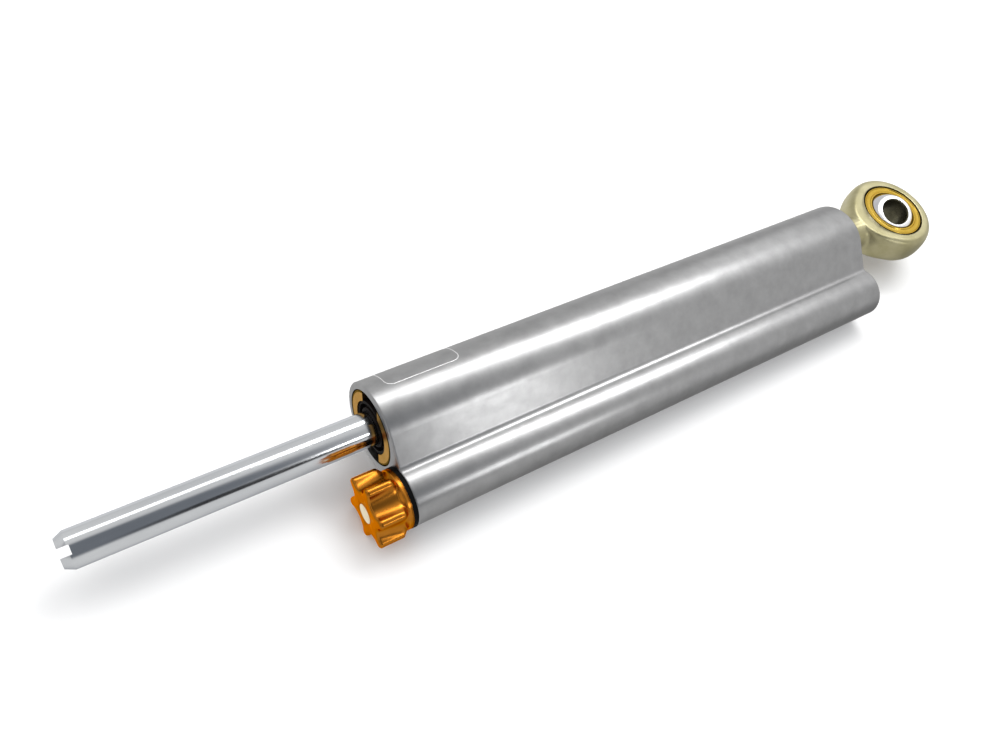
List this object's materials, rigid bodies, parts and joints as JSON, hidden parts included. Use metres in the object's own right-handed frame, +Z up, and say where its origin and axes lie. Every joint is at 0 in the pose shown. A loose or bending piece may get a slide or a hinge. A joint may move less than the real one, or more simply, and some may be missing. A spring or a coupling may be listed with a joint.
{
  "type": "motorcycle steering damper",
  "caption": "Linear through-rod steering damper: two-lobed aluminium body, chromed sliding rod with a spherical rod-end eye, and a lobed click knob that sets the damping.",
  "frame": {"origin": "centre of the spherical bearing's ball in the rod-end eye", "axes": "+X along the rod from its free slotted tip towards the eye; +Z up as the damper lies on both lobes; the small lobe with the knob is on the -Y side"},
  "size_m": [0.2554, 0.0375, 0.0225],
  "materials": {
    "body_aluminium": "satin clear anodised extrusion",
    "gold_anodised": "tan gold anodised, turned",
    "rubber": "matt black",
    "bronze": "bearing bronze",
    "plain_aluminium": "turned",
    "filled_plastic": "filled PTFE",
    "spring_steel": "oiled spring steel",
    "rod_chrome": "ground and hard chromed",
    "eye_steel": "olive passivated forging",
    "liner_brass": "bright brass",
    "ball_chrome": "mirror polished",
    "orange_anodised": "glossy orange gold anodised",
    "screw_steel": "bright turned steel",
    "black_plastic": "black",
    "valve_brass": "turned brass"
  },
  "bodies": {
    "housing": {"body": "body_aluminium", "front_gland": "gold_anodised", "rear_gland": "gold_anodised", "front_gland_o_ring": "rubber", "rear_gland_o_ring": "rubber", "front_wiper": "rubber", "rear_wiper": "rubber", "front_rod_seal": "rubber", "rear_rod_seal": "rubber", "front_rod_bush": "bronze", "rear_rod_bush": "bronze", "port_plugs": "screw_steel", "click_ring": "black_plastic", "spindle_clip": "spring_steel", "valve_cartridge": "valve_brass", "cartridge_o_ring": "rubber", "valve_seat": "valve_brass", "reservoir_spring": "spring_steel", "end_plug": "plain_aluminium", "end_plug_o_ring": "rubber", "end_plug_clip": "spring_steel"},
    "piston": {"piston": "plain_aluminium", "piston_seal": "filled_plastic", "seal_energiser": "rubber", "guide_rings": "filled_plastic"},
    "rod": {"piston_rod": "rod_chrome", "piston_clips": "spring_steel", "eye_housing": "eye_steel", "eye_liner": "liner_brass"},
    "ball": {"eye_ball": "ball_chrome"},
    "knob": {"adjuster_knob": "orange_anodised", "knob_screw": "screw_steel", "spindle": "screw_steel", "spindle_o_ring": "rubber", "click_spring": "spring_steel"},
    "click_ball": {"click_ball": "screw_steel"},
    "needle": {"needle": "screw_steel", "needle_o_ring": "rubber"},
    "floating_piston": {"floating_piston": "plain_aluminium", "floating_piston_o_ring": "rubber"}
  },
  "joints": [
    {"name": "rod_slide", "type": "slide", "parent": "housing", "child": "piston", "axis": [1, 0, 0], "range_m": [0, 0.06]},
    {"name": "rod_spin", "type": "hinge", "parent": "piston", "child": "rod", "pos_m": [0, 0, 0], "axis": [1, 0, 0], "continuous": true},
    {"name": "ball_tilt", "type": "hinge", "parent": "rod", "child": "ball", "pos_m": [0, 0, 0], "axis": [0.7593, -0.6508, 0], "range_deg": [-31.4, 0]},
    {"name": "knob_turn", "type": "hinge", "parent": "housing", "child": "knob", "pos_m": [-0.1767, -0.01639, -0.0037], "axis": [1, 0, 0], "range_deg": [0, 720]},
    {"name": "needle_feed", "type": "slide", "parent": "housing", "child": "needle", "axis": [1, 0, 0], "range_m": [0, 0.001]},
    {"name": "click", "type": "slide", "parent": "knob", "child": "click_ball", "axis": [-1, 0, 0], "range_m": [0, 0.0003], "stiffness_N_per_m": 500, "springref_m": -0.002, "deforming": ["click_spring"]},
    {"name": "reservoir_float", "type": "slide", "parent": "housing", "child": "floating_piston", "axis": [1, 0, 0], "range_m": [0, 0.004], "stiffness_N_per_m": 300, "springref_m": -0.003, "deforming": ["reservoir_spring"]}
  ],
  "couplings": [
    {"joint": "knob_turn", "follows": "needle_feed", "rad_per_m": 12566}
  ]
}
